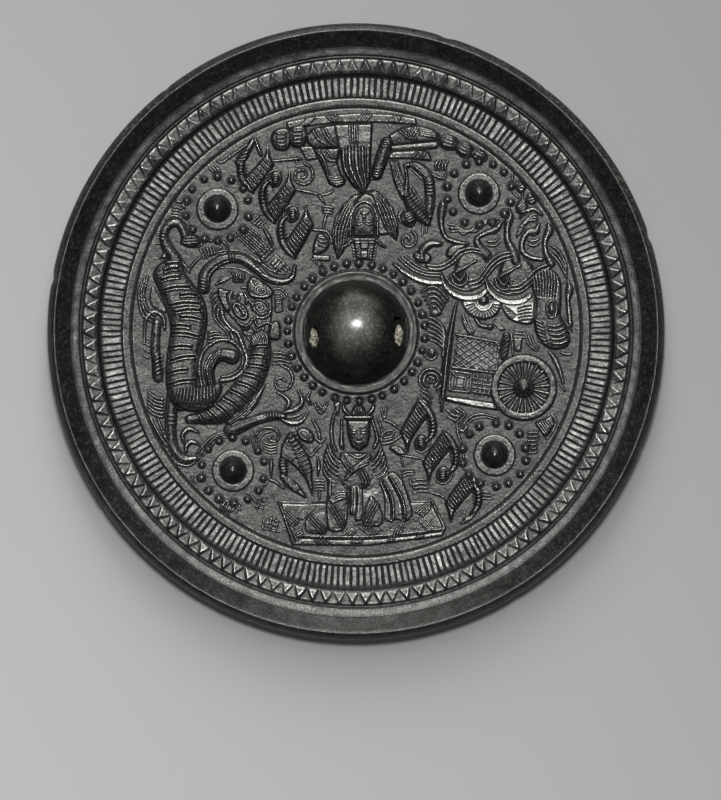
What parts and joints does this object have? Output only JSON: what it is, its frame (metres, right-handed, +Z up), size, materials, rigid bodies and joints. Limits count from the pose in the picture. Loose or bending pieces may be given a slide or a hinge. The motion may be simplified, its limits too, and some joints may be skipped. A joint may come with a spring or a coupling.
{
  "type": "bronze mirror",
  "caption": "Round cast bronze mirror, back side up: bored central knob, ringed cone bosses, relief scenes with chariot, tiger and seated figures, saw-tooth border and raised sloping rim",
  "frame": {"origin": "on the ground under the disc's centre, at the middle of the flat spot on the convex face", "axes": "+Z up, from the face to the decorated back; +X towards the chariot's side, along the knob's cord bore; +Y towards the scene whose seated figure has its head turned to the knob from the top"},
  "size_m": [0.21, 0.21, 0.0154],
  "materials": {
    "dark_bronze": "dark grey-black patina, worn to a soft sheen on the high parts"
  },
  "bodies": {
    "root": {"bronze_mirror": "dark_bronze"}
  },
  "joints": []
}
